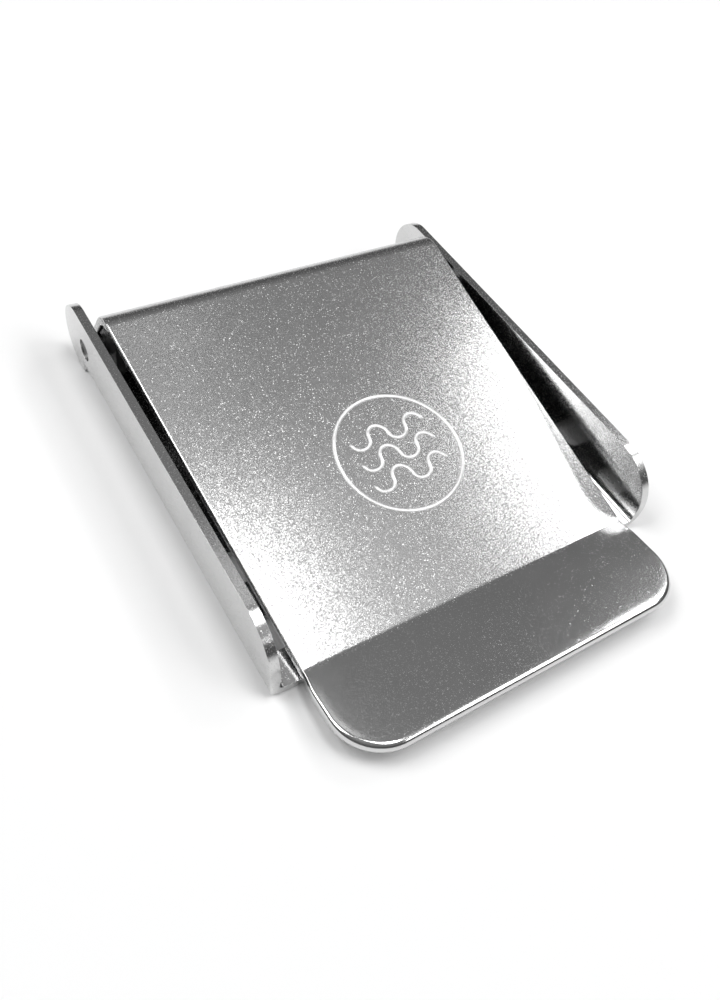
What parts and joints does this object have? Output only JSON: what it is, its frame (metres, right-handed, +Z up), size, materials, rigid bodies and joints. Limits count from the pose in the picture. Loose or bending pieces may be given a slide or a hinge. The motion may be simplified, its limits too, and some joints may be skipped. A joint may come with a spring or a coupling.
{
  "type": "cam-lever strap buckle",
  "caption": "Cam-lever strap buckle: a folded sheet channel frame with strap slots, and a hinged lever plate with a turned-up finger tab and a toothed gripping edge.",
  "frame": {"origin": "middle of the frame's flat underside, halfway along the side walls and halfway across", "axes": "+X across the strap, +Y along the strap to the hinge end, -Y to the finger tab, +Z up from the underside to the lever"},
  "size_m": [0.056, 0.0728, 0.0114],
  "materials": {
    "frame_steel": "tumbled bright stainless sheet, edges softened",
    "lever_steel": "tumbled bright stainless sheet, fine speckled grain",
    "pin_steel": "plain drawn stainless rod"
  },
  "bodies": {
    "frame_body": {"frame": "frame_steel", "pin": "pin_steel"},
    "lever_body": {"lever": "lever_steel"}
  },
  "joints": [
    {"name": "lever_hinge", "type": "hinge", "parent": "frame_body", "child": "lever_body", "pos_m": [0, 0.0234, 0.00485], "axis": [-1, 0, 0], "range_deg": [0, 130]}
  ]
}
